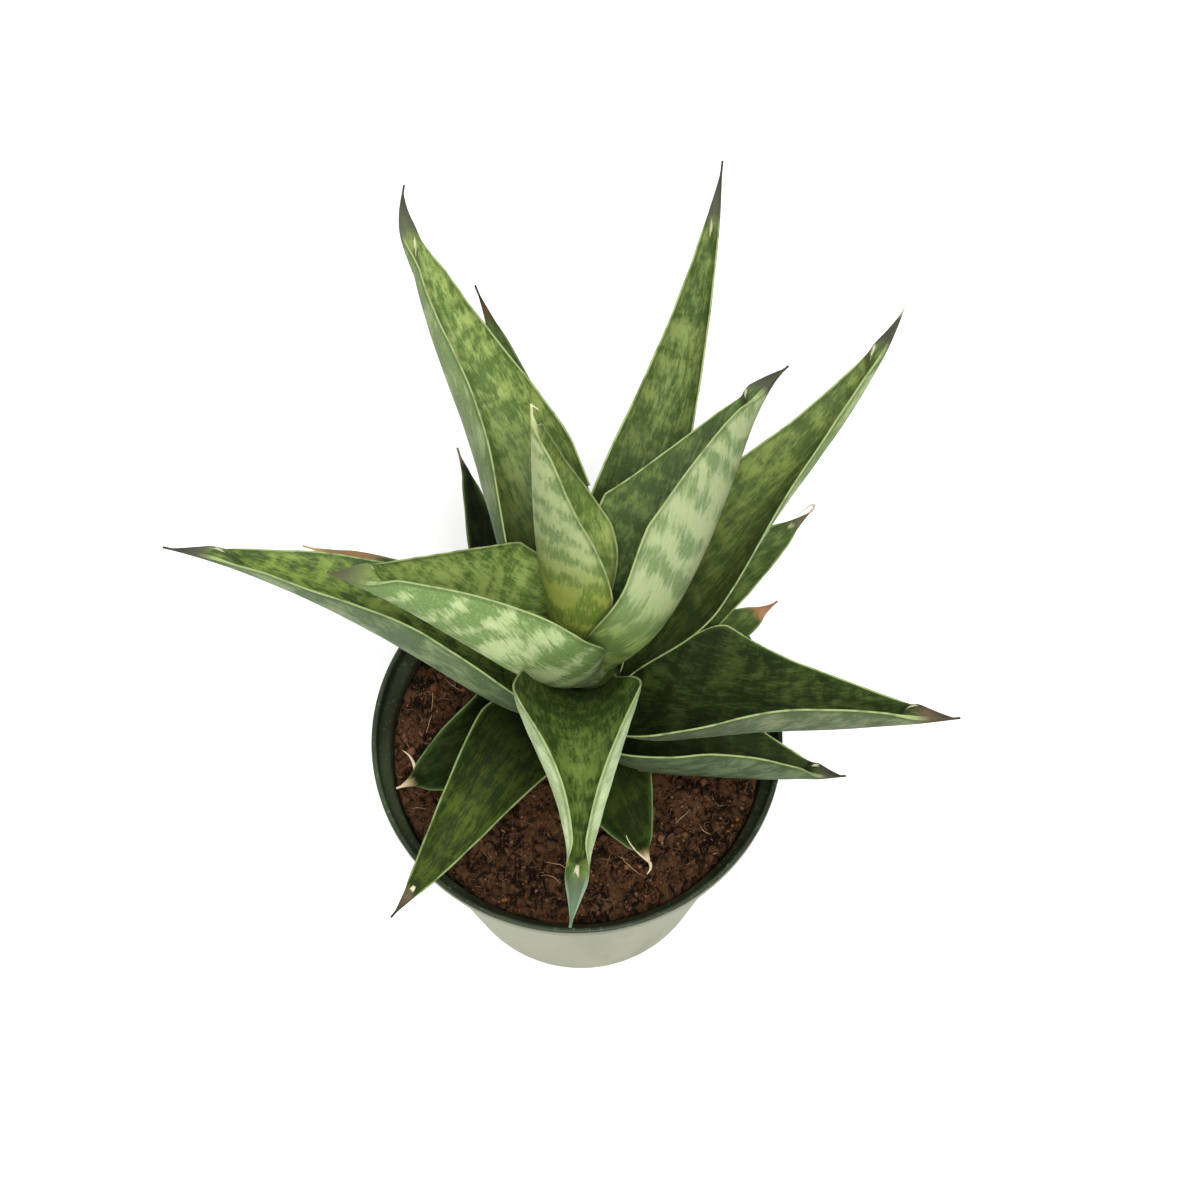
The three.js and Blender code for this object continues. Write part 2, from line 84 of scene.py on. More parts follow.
# ---- leaves: values shared with the solids ----
# root: azimuth, height above the soil | tip: azimuth, reach, height | rise: elevation at root and tip,
# azimuth at the tip | pull: how far those directions hold | blade: flattened width, widest at |
# fold: half angle of the channel at root, middle and end | open: the share where the sheath has opened |
# crease: 1 is a round channel, less is a V | roll: turn of the blade about its midrib | bow: sideways bend
# of the needle | widened: the share where the clasp has become the blade | needle: its part of the blade
LEAVES = {
    "06": dict(root=(162, 35), tip=(126, 18.5, 214.5), rise=(72, 92, 127), pull=(0.31, 0.42),
               blade=(47, 0.35), fold=(149, 83, 53), open=0.49, crease=0.6, roll=33, bow=0, needle=0.25),
    "05": dict(root=(-4, 32), tip=(46.5, 72.5, 169.5), rise=(58, 36, 24), pull=(0.59, 0.21),
               blade=(60, 0.48), fold=(150, 93, 94), open=0.38, crease=0.66, roll=-3, bow=0),
    "02": dict(root=(216, 28.5), tip=(189, 57.5, 184), rise=(56, 55, 191), pull=(0.37, 0.43),
               blade=(63, 0.38), fold=(131, 90, 108), open=0.41, crease=0.7, roll=1, bow=0),
    "10": dict(root=(-108, 27), tip=(-92.5, 85, 166), rise=(60, 12, -100), pull=(0.36, 0.46),
               blade=(57, 0.47), fold=(80, 76, 130), open=0.5, crease=0.7, roll=17, bow=0, widened=0.7),
    "04": dict(root=(58, 24.9), tip=(73, 126, 162.5), rise=(72, 24, 83), pull=(0.25, 0.43),
               blade=(33, 0.24), fold=(82, 67, 77), open=0.41, crease=0.7, roll=-6, bow=0),
    "07": dict(root=(26, 21.2), tip=(41.5, 106.5, 168.5), rise=(70, 21, 66), pull=(0.2, 0.41),
               blade=(41, 0.3), fold=(68, 45, 86), open=0.3, crease=0.7, roll=-24, bow=0),
    "08": dict(root=(-41, 19.1), tip=(-17.5, 93, 140.5), rise=(42, 26, -5), pull=(0.33, 0.51),
               blade=(53, 0.3), fold=(50, 55, 88), open=0.27, crease=0.72, roll=-25, bow=0),
    "03": dict(root=(113, 17.4), tip=(112, 124, 161), rise=(69, 12, 94), pull=(0.31, 0.38),
               blade=(49, 0.38), fold=(50, 96, 92), open=0.24, crease=0.7, roll=38, bow=2),
    "01": dict(root=(203, 9.3), tip=(170.5, 105, 146), rise=(50, 7, 169), pull=(0.34, 0.47),
               blade=(42, 0.44), fold=(68, 79, 62), open=0.25, crease=0.7, roll=6, bow=0),
    "09": dict(root=(-69, 11.5), tip=(-23, 71.5, 102), rise=(32, 6, 0), pull=(0.27, 0.46),
               blade=(46, 0.41), fold=(79, 83, 104), open=0.33, crease=0.7, roll=-17, bow=0),
    "11": dict(root=(222, 5.6), tip=(233, 81, 106), rise=(51, 20, 237), pull=(0.34, 0.43),
               blade=(33, 0.26), fold=(50, 71, 69), open=0.31, crease=0.7, roll=-3, bow=0),
    "14": dict(root=(37, 9), tip=(35.5, 74, 114), rise=(45, 8, 40), pull=(0.25, 0.45),
               blade=(33, 0.25), fold=(70, 62, 57), open=0.42, crease=0.7, roll=6, bow=0),
    "16": dict(root=(105, 11), tip=(105.5, 112, 126), rise=(30, 17, 113), pull=(0.24, 0.42),
               blade=(27, 0.26), fold=(102, 52, 59), open=0.4, crease=0.7, roll=1, bow=0),
    "17": dict(root=(155, 2.2), tip=(118, 75, 109), rise=(46, 9, 106), pull=(0.33, 0.43),
               blade=(23, 0.28), fold=(51, 47, 52), open=0.46, crease=0.7, roll=0, bow=0),
    "13": dict(root=(-86, 7.2), tip=(-71, 49, 87), rise=(10, 3, -66), pull=(0.2, 0.44),
               blade=(28, 0.34), fold=(50, 52, 35), open=0.42, crease=0.7, roll=0, bow=0),
    "12": dict(root=(207, 1), tip=(207, 56.5, 91), rise=(30, 0, 202), pull=(0.44, 0.43),
               blade=(34, 0.29), fold=(50, 69, 31), open=0.49, crease=0.7, roll=-11, bow=0),
    "18": dict(root=(163, 7), tip=(155, 83, 112), rise=(10, 7, 165), pull=(0.25, 0.58),
               blade=(23, 0.28), fold=(50, 54, 45), open=0.39, crease=0.7, roll=0, bow=0),
    "15": dict(root=(28, 3), tip=(25, 56.5, 98), rise=(30, 7, 36), pull=(0.25, 0.45),
               blade=(26, 0.25), fold=(80, 50, 46), open=0.42, crease=0.7, roll=4, bow=0),
    "19": dict(root=(-41, 1), tip=(-26, 52, 94), rise=(18, 2, -19), pull=(0.32, 0.52),
               blade=(26, 0.3), fold=(50, 42, 49), open=0.4, crease=0.7, roll=0, bow=0),
}
ROOT_THICK, MID_THICK, END_THICK = 1.3, 2.4, 1.2
BULK_LIMIT, EDGE_FALL = 0.8, 1.6
SHOULDER, SHOULDER_WIDTH = 0.87, 0.2
TAPER_CURVE, NEEDLE_CURVE, NEEDLE_SHARE, NEEDLE_TIP, NEEDLE_WRAP = 1.12, 1.2, 0.62, 0.3, 80.0
CLOSING = (0.82, 0.91)  # the shares over which the channel closes into the needle
WIDENED = 0.3  # for a leaf that doesn't give its own
CURVE_STEPS, SECTION_STEPS = 64, 24

# ---- values of the fine leaves alone ----
EDGE_THICK, THINNEST = 0.42, 0.4  # thinner than in the solids
RINGS, COLUMNS = 112, 29
SMALL_RINGS, SMALL_COLUMNS = 72, 21
RING_CROWDING = 0.012  # rings lie a little closer halfway along the leaf
COLUMN_CROWDING = 0.55  # columns lie closer near the margins
BEAD_ANGLES, BEAD_TONES, BEAD_FADES = (0.8, 1.571, 2.34), (0.8, 0.5, 0.2), (0.82, 0.9)
WAVE_HEIGHT, WAVE_FINENESS = 0.55, 0.045
RIB_HEIGHT, RIB_FINENESS = 0.05, 1.9
SEED_STEP = 7.31
SHEATH_SHARE, SHEATH_REACH, SHEATH_DEPTH = 0.3, 9, 0.5
THREAD_END = 0.12

# ---- how each leaf looks ----
# upper, back: the darker and the paler colour of each face | needle: its colour where it starts and at its
# point | patches: how far the paler ones spread on each face | bands: strength of the cross-bands on the
# back, and their spacing in mm | deep: painted shade over the root | slot: strength of the cream mark
# before the needle | gloss: specular level | line: how clear the pale margin is | dry: the share from which
# the end is dry | turn: where the needle starts to take its point's colour | fade: how much fewer the back's
# pale patches are at the end | base: the back's two colours low on a young leaf, up to the share in young |
# hem: the needle's colour at its sides
ORDINARY = dict(patches=(0.4, 0.5), bands=(0.3, 12.0), deep=0.6, slot=0.0, gloss=0.1, line=0.9, dry=0.875,
                turn=0.9, fade=0.0, base=None, young=0.0, hem=None)


def look(**changes):
    """How one leaf looks: the ordinary values with that leaf's changes."""
    return {**ORDINARY, **changes}


# the low leaves 08, 09, 11, 12, 13 and 17 are near-black: partly their own dark green, partly painted shade
# where they lie under the other leaves
LOOKS = {
    "06": look(upper=("#5b7335", "#96a55c"), back=("#6d8352", "#a0ad79"), needle=("#a3ab6e", "#c2c391"),
               patches=(0.5, 0.72), bands=(0.65, 8.5), deep=0.0, slot=0.5, gloss=0.15,
               base=("#56681f", "#7b8433"), young=0.56),
    "05": look(upper=("#394b27", "#64763f"), back=("#64784c", "#939e74"), needle=("#44453a", "#34322a"),
               patches=(0.4, 0.74), bands=(0.75, 8.5), deep=0.0, slot=0.9, gloss=0.15,
               base=("#5f783c", "#82974f"), young=0.42),
    "02": look(upper=("#4a622c", "#8a9c55"), back=("#617a44", "#a3b280"), needle=("#5f6a3f", "#4b4a36"),
               patches=(0.6, 0.54), bands=(0.6, 10.0), deep=0.0, slot=0.6, gloss=0.15, fade=0.2),
    "10": look(upper=("#31451a", "#687b39"), back=("#8c9d70", "#b1c195"), needle=("#445040", "#52654f"),
               patches=(0.45, 0.6), bands=(0.3, 11.0), slot=0.6, gloss=0.08, hem="#879c80"),
    "04": look(upper=("#35481f", "#6c7a42"), back=("#586d42", "#a5b384"), needle=("#46473b", "#33332d"),
               patches=(0.42, 0.6), bands=(0.4, 9.0), slot=0.5, gloss=0.12, dry=0.85),
    "07": look(upper=("#3a4a21", "#68773a"), back=("#5f7544", "#94a474"), needle=("#3a3a30", "#d5d0bf"),
               patches=(0.46, 0.6), bands=(0.3, 11.0), slot=0.8, gloss=0.13, turn=0.965),
    "08": look(upper=("#1d2810", "#3f4e24"), back=("#46523a", "#6c7559"), needle=("#5c4f3d", "#3b3129"),
               patches=(0.35, 0.5), bands=(0.25, 12.0), deep=0.4, slot=0.9, gloss=0.05),
    "03": look(upper=("#48602b", "#8c9c56"), back=("#657849", "#93a472"), needle=("#4c4f3d", "#383830"),
               patches=(0.62, 0.5), bands=(0.35, 13.0), deep=0.95, slot=0.8, gloss=0.18, dry=0.85),
    "01": look(upper=("#334620", "#72853d"), back=("#4c5f40", "#7a8a62"), needle=("#4b4a3c", "#33312c"),
               patches=(0.5, 0.5), bands=(0.4, 12.0), deep=0.4, slot=0.7, gloss=0.14),
    "09": look(upper=("#202c13", "#36441d"), back=("#3a4831", "#5a674a"), needle=("#403f33", "#2e2a25"),
               patches=(0.35, 0.5), deep=0.5, slot=0.9, gloss=0.05),
    "11": look(upper=("#232f14", "#47551f"), back=("#46563c", "#6c7b56"), needle=("#5b4f3e", "#3d342b"),
               patches=(0.45, 0.5), deep=0.9, slot=0.9, gloss=0.05, line=0.6),
    "14": look(upper=("#33431f", "#5b6c35"), back=("#4f6140", "#7c8a63"), needle=("#5d5343", "#cfc6b2"),
               patches=(0.45, 0.5), slot=0.3, gloss=0.12, line=0.6, turn=0.965),
    "16": look(upper=("#2c3a1e", "#4a5a2d"), back=("#46553a", "#6a7852"), needle=("#5a3f2b", "#2e2620"),
               line=0.3),
    "17": look(upper=("#10150a", "#1d2511"), back=("#1d2616", "#2c3722"), needle=("#241f19", "#6b5a4b"),
               bands=(0.2, 12.0), gloss=0.05, line=0.3),
    "13": look(upper=("#172009", "#2b3712"), back=("#3b4a33", "#5d6c4b"), needle=("#8a7758", "#c3b596"),
               deep=0.7, gloss=0.02, line=0.3),
    "12": look(upper=("#121b08", "#222d0f"), back=("#3a4932", "#566747"), needle=("#8d7a5b", "#bdae90"),
               deep=0.7, gloss=0.02, line=0.3),
    "18": look(upper=("#2c3a1c", "#45552a"), back=("#3f4e34", "#5c6a48"), needle=("#8a6c4a", "#b39b79"),
               line=0.3, dry=0.72),
    "15": look(upper=("#34441f", "#55662f"), back=("#465639", "#66744d"), needle=("#8d6a4a", "#7b563c"),
               patches=(0.45, 0.5), line=0.3, dry=0.82),
    "19": look(upper=("#26331a", "#3b4a24"), back=("#43523b", "#5f6e50"), needle=("#5a4a38", "#3b3129"),
               line=0.3),
}
SMALL_LEAVES = ("16", "17", "13", "12", "18", "15", "19")
# noises over a leaf: fineness across it, along it and from leaf to leaf, then detail, roughness, distortion
LEAF_NOISES = dict(
    grain=((3.4, 1.6, 1), 2, 0.6),
    streak=((1.7, 0.3, 1), 4, 0.62),
    cloud=((0.1, 0.075, 1), 3, 0.55, 0.3),
    blotch=((0.42, 0.17, 1), 4, 0.65, 0.3),
    band=((0.04, 0.15, 1), 3, 0.6, 0.5),
    comb=((1.25, 0.16, 1), 3, 0.7),
    sway=((0.05, 0.045, 1), 2, 0.5),
    ragged=((0.5, 0.45, 1), 3, 0.6),
    worn=((0.2, 0.3, 1), 2),
    sheen=((0.6, 0.3, 1), 3),
    veins=((2.6, 0.12, 1), 2, 0.5),
)
MARGIN_SHADE, MARGIN_LINE, SMUDGE, CREAM = "#33461f", "#8f9d68", "#353522", "#cfc9ad"


# ---- small helpers ----
def lerp(a, b, t):
    return a + (b - a) * t


def smooth(a, b, x):
    t = np.clip((np.asarray(x, float) - a) / (b - a), 0, 1)
    return t * t * (3 - 2 * t)


def heading(azimuth, elevation=0.0):
    a, e = math.radians(azimuth), math.radians(elevation)
    return np.array([math.cos(a) * math.cos(e), math.sin(a) * math.cos(e), math.sin(e)])


def rgb(code):
    """A linear colour from #rrggbb."""
    parts = [int(code[i : i + 2], 16) / 255 for i in (1, 3, 5)]
    return tuple(c / 12.92 if c <= 0.04045 else ((c + 0.055) / 1.055) ** 2.4 for c in parts) + (1.0,)


def shade(colour, factor):
    """A colour made darker or lighter."""
    return tuple(factor * c for c in colour[:3]) + (1.0,)


def mesh_object(name, points, faces, attributes=None):
    """A smooth-shaded object from millimetre points, with per-point float or vector attributes."""
    mesh = bpy.data.meshes.new(name)
    mesh.from_pydata([tuple(p) for p in np.asarray(points) * MM], [], faces)
    mesh.update()
    mesh.polygons.foreach_set("use_smooth", [True] * len(mesh.polygons))
    for key, values in (attributes or {}).items():
        values = np.asarray(values, np.float32)
        kind, field = ("FLOAT_VECTOR", "vector") if values.ndim == 2 else ("FLOAT", "value")
        mesh.attributes.new(key, kind, "POINT").data.foreach_set(field, values.ravel())
    piece = bpy.data.objects.new(name, mesh)
    bpy.context.scene.collection.objects.link(piece)
    return piece


def finish_piece(piece, slot, material, *nodes):
    piece.data.materials.append(material)
    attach(piece, "root")
    if nodes:
        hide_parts(*nodes)


def fractal(point, octaves, seed=0.0):
    """Repeatable fractal noise in about -1..1 at a point."""
    return noise.fractal(Vector(point) + Vector((seed, -seed, seed)), 0.9, 2.1, octaves)


# ---- leaf geometry ----
def stem_radius(height):
    return STEM_RADIUS * math.sqrt(max(0.0, 1 - (height / STEM_DOME) ** 2))


def clasp_radius(height):
    return stem_radius(height) + GAP + ROOT_THICK


def midrib(leaf):
    """Places, directions, normals and distances run along the leaf's midrib."""
    root_azimuth, root_height = leaf["root"]
    tip_azimuth, reach, tip_height = leaf["tip"]
    start_rise, end_rise, end_azimuth = leaf["rise"]
    axis = np.array([STEM_X, STEM_Y, 0.0])
    root = axis + clasp_radius(root_height) * heading(root_azimuth) + [0, 0, SOIL_TOP + root_height]
    tip = axis + reach * heading(tip_azimuth) + [0, 0, tip_height]
    span = np.linalg.norm(tip - root)
    near_root = root + leaf["pull"][0] * span * heading(root_azimuth, start_rise)
    near_tip = tip - leaf["pull"][1] * span * heading(end_azimuth, end_rise)
    t = np.linspace(0, 1, CURVE_STEPS + 1)[:, None]
    q = 1 - t
    places = q**3 * root + 3 * q * q * t * near_root + 3 * q * t * t * near_tip + t**3 * tip
    ways = q * q * (near_root - root) + 2 * q * t * (near_tip - near_root) + t * t * (tip - near_tip)
    ways /= np.linalg.norm(ways, axis=1)[:, None]
    normals = np.zeros_like(ways)
    normal = -heading(root_azimuth)
    for i, way in enumerate(ways):
        normal = normal - way * (normal @ way)
        normal /= np.linalg.norm(normal)
        normals[i] = normal
    run = np.r_[0, np.cumsum(np.linalg.norm(np.diff(places, axis=0), axis=1))]
    return places, ways, normals, run


def blade_half(leaf, share):
    width, widest = leaf["blade"]
    tapered = np.clip((share - widest) / (SHOULDER - widest), 0, 1) ** TAPER_CURVE
    remaining = np.clip((1 - share) / (1 - SHOULDER), 0, 1) ** NEEDLE_CURVE
    blade = np.where(share < SHOULDER, lerp(1, SHOULDER_WIDTH, tapered), SHOULDER_WIDTH * remaining)
    return width / 2 * blade


def leaf_faces_points(leaf, seed, share, across):
    """A leaf's outer and inner faces as two grids of points, its half width at each ring and its length."""
    places, ways, normals, run = midrib(leaf)
    at = lambda grid: np.stack([np.interp(share * run[-1], run, grid[:, k]) for k in range(3)], 1)
    places, ways, normals = at(places), at(ways), at(normals)
    ways /= np.linalg.norm(ways, axis=1)[:, None]
    normals /= np.linalg.norm(normals, axis=1)[:, None]
    sides = np.cross(normals, ways)
    roll = np.radians(leaf["roll"]) * smooth(0, 0.6, share)
    cos, sin = np.cos(roll)[:, None], np.sin(roll)[:, None]
    sides, normals = sides * cos + normals * sin, normals * cos - sides * sin
    bow = leaf["bow"] * np.sin(math.pi * np.clip((share - 0.8) / 0.2, 0, 1))
    places = places + bow[:, None] * sides

    root_fold, middle_fold, end_fold = np.radians(leaf["fold"])
    blade = blade_half(leaf, share)
    clasp = root_fold * clasp_radius(leaf["root"][1])
    half = lerp(clasp, blade, smooth(0, leaf.get("widened", WIDENED), share))
    blade_fold = lerp(middle_fold, end_fold, smooth(0.35, 0.85, share))
    fold = lerp(root_fold, blade_fold, smooth(0, leaf["open"], share))
    crease = lerp(1, leaf["crease"], smooth(0.1, 0.5, share))
    middle = np.where(
        share < 0.3,
        lerp(ROOT_THICK, MID_THICK, smooth(0, 0.3, share)),
        lerp(MID_THICK, END_THICK, smooth(0.3, 0.95, share)),
    )
    closing = smooth(*CLOSING, share)
    needle = np.maximum(NEEDLE_TIP, leaf.get("needle", NEEDLE_SHARE) * blade)

    reach = np.abs(across)
    steps = (np.arange(SECTION_STEPS) + 0.5) / SECTION_STEPS
    length = run[-1]
    outer = np.zeros((len(share), len(across), 3))
    inner = np.zeros_like(outer)
    for i in range(len(share)):
        slope = fold[i] * (reach[:, None] * steps) ** crease[i]
        x = half[i] * across * np.cos(slope).mean(1)
        y = half[i] * reach * np.sin(slope).mean(1)
        turn = fold[i] * reach ** crease[i] * np.sign(across)
        limit = max(THINNEST, half[i] * BULK_LIMIT)
        thick = np.minimum(lerp(middle[i], EDGE_THICK, reach**EDGE_FALL), limit)
        # slow waves near the margins and faint ribs along the back, as on a real leaf
        blade_share = smooth(0.2, 0.4, share[i]) * (1 - smooth(0.74, 0.86, share[i]))
        along = share[i] * length
        wave = np.array([fractal((along * WAVE_FINENESS, side * 2.0, seed), 2) for side in np.sign(across)])
        y = y + WAVE_HEIGHT * wave * reach**3 * blade_share
        rib = RIB_HEIGHT * np.cos(across * half[i] * RIB_FINENESS) * blade_share
        nx, ny = -np.sin(turn), np.cos(turn)
        ox, oy = x - nx * rib, y - ny * rib
        ix, iy = x + nx * thick, y + ny * thick
        wrap = across * math.radians(NEEDLE_WRAP)
        curl = needle[i] * np.sin(wrap)
        ox, oy = lerp(ox, curl, closing[i]), lerp(oy, needle[i] * (1 - np.cos(wrap)), closing[i])
        ix, iy = lerp(ix, curl, closing[i]), lerp(iy, needle[i] * (1 + np.cos(wrap)), closing[i])
        outer[i] = places[i] + ox[:, None] * sides[i] + oy[:, None] * normals[i]
        inner[i] = places[i] + ix[:, None] * sides[i] + iy[:, None] * normals[i]
    return outer, inner, half * (1 - closing) + needle * 1.4 * closing, length


def leaf_grid(name):
    """A leaf as closed rings of points, with its values per point, its outer face and its rings' shares.

    A ring goes over the outer face, round one margin, back over the inner face and round the other margin.
    """
    rings, columns = (SMALL_RINGS, SMALL_COLUMNS) if name in SMALL_LEAVES else (RINGS, COLUMNS)
    share = np.linspace(0, 1, rings)
    share = share + RING_CROWDING * np.sin(2 * math.pi * share)
    even = np.linspace(-1, 1, columns)
    across = COLUMN_CROWDING * np.sin(even * math.pi / 2) + (1 - COLUMN_CROWDING) * even
    seed = float(int(name)) * SEED_STEP
    outer, inner, half, length = leaf_faces_points(LEAVES[name], seed, share, across)
    # each margin's half-round bead: points on an arc from the outer to the inner face
    beads = []
    for side in (-1, 0):
        a, b = outer[:, side], inner[:, side]
        inside = outer[:, -2] if side == -1 else outer[:, 1]
        out = a - inside
        span = b - a
        thick = np.linalg.norm(span, axis=1)[:, None]
        out -= span * (np.sum(out * span, 1)[:, None] / thick**2)
        out /= np.maximum(np.linalg.norm(out, axis=1)[:, None], 1e-9)
        bulge = 0.5 * thick * (1 - smooth(*BEAD_FADES, share))[:, None]
        turns = [(math.cos(angle), math.sin(angle)) for angle in BEAD_ANGLES]
        beads.append([a + span * (1 - cos) / 2 + out * bulge * sin for cos, sin in turns])
    rows = [(outer[:, j], across[j], 1.0) for j in range(columns)]
    rows += [(bead, 1.0, tone) for bead, tone in zip(beads[0], BEAD_TONES)]
    rows += [(inner[:, j], across[j], 0.0) for j in reversed(range(columns))]
    rows += [(bead, -1.0, tone) for bead, tone in zip(reversed(beads[1]), reversed(BEAD_TONES))]
    loops, u, back = zip(*rows)
    grid = np.stack(loops, 1)
    count = grid.shape[1]
    flat_across = (np.array(u)[None, :] * half[:, None]).ravel()
    flat_along = np.repeat(share * length, count)
    flat_seed = np.full(rings * count, seed * 13.7)
    fields = dict(
        share=np.repeat(share, count),
        back=np.tile(back, rings),
        edge=((1 - np.abs(u))[None, :] * half[:, None]).ravel(),
        flat=np.stack([flat_across, flat_along, flat_seed], 1),
        off=np.tile(np.abs(u), rings),
    )
    return grid, fields, outer, share


def outer_tree(outer):
    """The outer face's points and outward normals, to test what lies inside the leaf."""
    along = np.gradient(outer, axis=0)
    over = np.gradient(outer, axis=1)
    normals = np.cross(over, along)
    normals /= np.maximum(np.linalg.norm(normals, axis=2)[..., None], 1e-9)
    rings = int(0.8 * outer.shape[0])
    points = outer[3:rings, 2:-2].reshape(-1, 3)
    normals = normals[3:rings, 2:-2].reshape(-1, 3)
    tree = KDTree(len(points))
    for i, point in enumerate(points):
        tree.insert(point, i)
    tree.balance()
    return tree, points, normals


def tucked(grid, share, younger):
    """Which points of a leaf's sheath lie behind the back of a younger leaf that clasps the stem above it."""
    flat = grid.reshape(-1, 3)
    hidden = np.zeros(len(flat), bool)
    sheath = np.repeat(share < SHEATH_SHARE, grid.shape[1])
    for i in np.nonzero(sheath)[0]:
        point = flat[i]
        for tree, points, normals in younger:
            _, k, distance = tree.find(point)
            if distance < SHEATH_REACH and (point - points[k]) @ normals[k] < -SHEATH_DEPTH:
                hidden[i] = True
                break
    return hidden


def leaf_faces(rings, count, hidden):
    faces = []
    for i in range(rings - 1):
        for j in range(count):
            k = (j + 1) % count
            quad = (i * count + j, i * count + k, (i + 1) * count + k, (i + 1) * count + j)
            if not all(hidden[q] for q in quad):
                faces.append(quad)
    faces.append(tuple((rings - 1) * count + j for j in range(count)))
    if not hidden[:count].any():
        faces.append(tuple(reversed(range(count))))
    return faces


def ring_faces(low, high, count):
    """Quads between two rings of points that start at low and high."""
    return [(low + j, low + (j + 1) % count, high + (j + 1) % count, high + j) for j in range(count)]


def strand(points, radii, sides=7):
    """A closed tube round a list of points, as points and faces."""
    points = np.asarray(points, float)
    rings, faces = [], []
    for i, point in enumerate(points):
        way = points[min(i + 1, len(points) - 1)] - points[max(i - 1, 0)]
        way /= np.linalg.norm(way)
        side = np.cross(way, [0.3, 0.2, 1.0])
        side /= np.linalg.norm(side)
        over = np.cross(way, side)
        for j in range(sides):
            a = 2 * math.pi * j / sides
            rings.append(point + radii[i] * (side * math.cos(a) + over * math.sin(a)))
    for i in range(len(points) - 1):
        faces += ring_faces(i * sides, (i + 1) * sides, sides)
    last = (len(points) - 1) * sides
    faces.append(tuple(last + j for j in range(sides)))
    faces.append(tuple(reversed(range(sides))))
    return rings, faces


# ---- node helpers ----
class Nodes:
    """Short calls for building a material's node tree."""

    def __init__(self, name):
        self.material = bpy.data.materials.new(name)
        self.material.use_nodes = True
        self.tree = self.material.node_tree
        self.shader = next(n for n in self.tree.nodes if n.type == "BSDF_PRINCIPLED")

    def add(self, kind, settings=None, **inputs):
        node = self.tree.nodes.new(kind)
        for key, value in (settings or {}).items():
            setattr(node, key, value)
        for key, value in inputs.items():
            self.plug(node, key, value)
        return node

    def plug(self, node, key, value):
        socket = node.inputs[int(key[1:])] if key[0] == "i" and key[1:].isdigit() else node.inputs[key]
        if isinstance(value, bpy.types.NodeSocket):
            self.tree.links.new(value, socket)
        else:
            socket.default_value = value

    def fill(self, node, keys, values):
        for key, value in zip(keys, values):
            self.plug(node, key, value)
        return node

    def attribute(self, name, output="Fac"):
        return self.add("ShaderNodeAttribute", dict(attribute_name=name)).outputs[output]

    def math(self, operation, a, b=0.0, c=0.0):
        return self.add("ShaderNodeMath", dict(operation=operation), i0=a, i1=b, i2=c).outputs[0]

    def span(self, value, low, high, to_low=0.0, to_high=1.0):
        """value mapped smoothly from low..high to to_low..to_high."""
        node = self.add("ShaderNodeMapRange", dict(interpolation_type="SMOOTHSTEP"))
        keys = ("Value", "From Min", "From Max", "To Min", "To Max")
        return self.fill(node, keys, (value, low, high, to_low, to_high)).outputs[0]

    def mix(self, factor, a, b):
        node = self.add("ShaderNodeMix", dict(data_type="RGBA", clamp_factor=True))
        return self.fill(node, ("i0", "i6", "i7"), (factor, a, b)).outputs[2]

    def blend(self, *terms):
        """The sum of (value, weight) terms."""
        total = 0.0
        for value, weight in terms:
            total = self.math("MULTIPLY_ADD", value, weight, total)
        return total

    def scaled(self, vector, scale):
        return self.add("ShaderNodeVectorMath", dict(operation="MULTIPLY"), i0=vector, i1=scale).outputs[0]

    def noise(self, vector, scale=1.0, detail=3.0, rough=0.55, distort=0.0):
        keys = ("Vector", "Scale", "Detail", "Roughness", "Distortion")
        node = self.fill(self.add("ShaderNodeTexNoise"), keys, (vector, scale, detail, rough, distort))
        return node.outputs["Fac"]

    def bump(self, height, strength, distance):
        keys = ("Strength", "Distance", "Height")
        node = self.fill(self.add("ShaderNodeBump"), keys, (strength, distance, height))
        self.plug(self.shader, "Normal", node.outputs[0])

    def surface(self, colour, roughness, specular):
        keys = ("Base Color", "Roughness", "Specular IOR Level")
        self.fill(self.shader, keys, (colour, roughness, specular))


# ---- materials ----
def upper_colour(n, look, noises):
    """Soft patches drawn out along the leaf and crossed by vague bands, broken up by fine streaks."""
    mottle = n.blend((noises["blotch"], 0.4), (noises["band"], 0.32), (noises["streak"], 0.28))
    middle = 0.5 + 0.12 * (0.5 - look["patches"][0])
    dark, fair = (rgb(code) for code in look["upper"])
    colour = n.mix(n.span(mottle, middle - 0.075, middle + 0.095), dark, fair)
    colour = n.mix(n.span(noises["streak"], 0.56, 0.78, 0.0, 0.45), colour, shade(dark, 0.62))
    return n.mix(n.span(noises["grain"], 0.52, 0.8, 0.0, 0.3), colour, shade(fair, 1.25))


def back_colour(n, look, noises, along, share, off):
    """Pale patches with ragged green cross-bands between them, greener towards the margins."""
    strength, spacing = look["bands"]
    raggedness = [(noises["sway"], 2.2 * spacing), (noises["comb"], 4.0), (noises["ragged"], 3.0)]
    run = n.blend((along, 1.0), *raggedness)
    beat = n.math("SINE", n.math("MULTIPLY", run, 2 * math.pi / spacing))
    middle = 0.5 + 0.3 * (0.5 - look["patches"][1])
    patches = [(noises["cloud"], 0.8), (noises["streak"], 0.6), (noises["blotch"], 0.55)]
    beat = n.blend((beat, 0.16 * strength), *patches, (off, -0.12), (0.92, -1.0))
    if look["fade"]:
        beat = n.blend((beat, 1.0), (n.span(share, 0.45, 0.75), -look["fade"]))
    dark, fair = (rgb(code) for code in look["back"])
    colour = n.mix(n.span(beat, middle - 0.64, middle - 0.36), dark, fair)
    colour = n.mix(n.span(noises["streak"], 0.52, 0.75, 0.0, 0.35), colour, shade(dark, 0.85))
    colour = n.mix(n.span(noises["grain"], 0.5, 0.78, 0.0, 0.35), colour, shade(fair, 1.16))
    if look["base"]:
        dark, fair = (rgb(code) for code in look["base"])
        low = n.mix(n.span(beat, -0.1, 0.1), dark, fair)
        colour = n.mix(n.span(share, look["young"], look["young"] - 0.22, 0.0, 0.9), colour, low)
    return colour


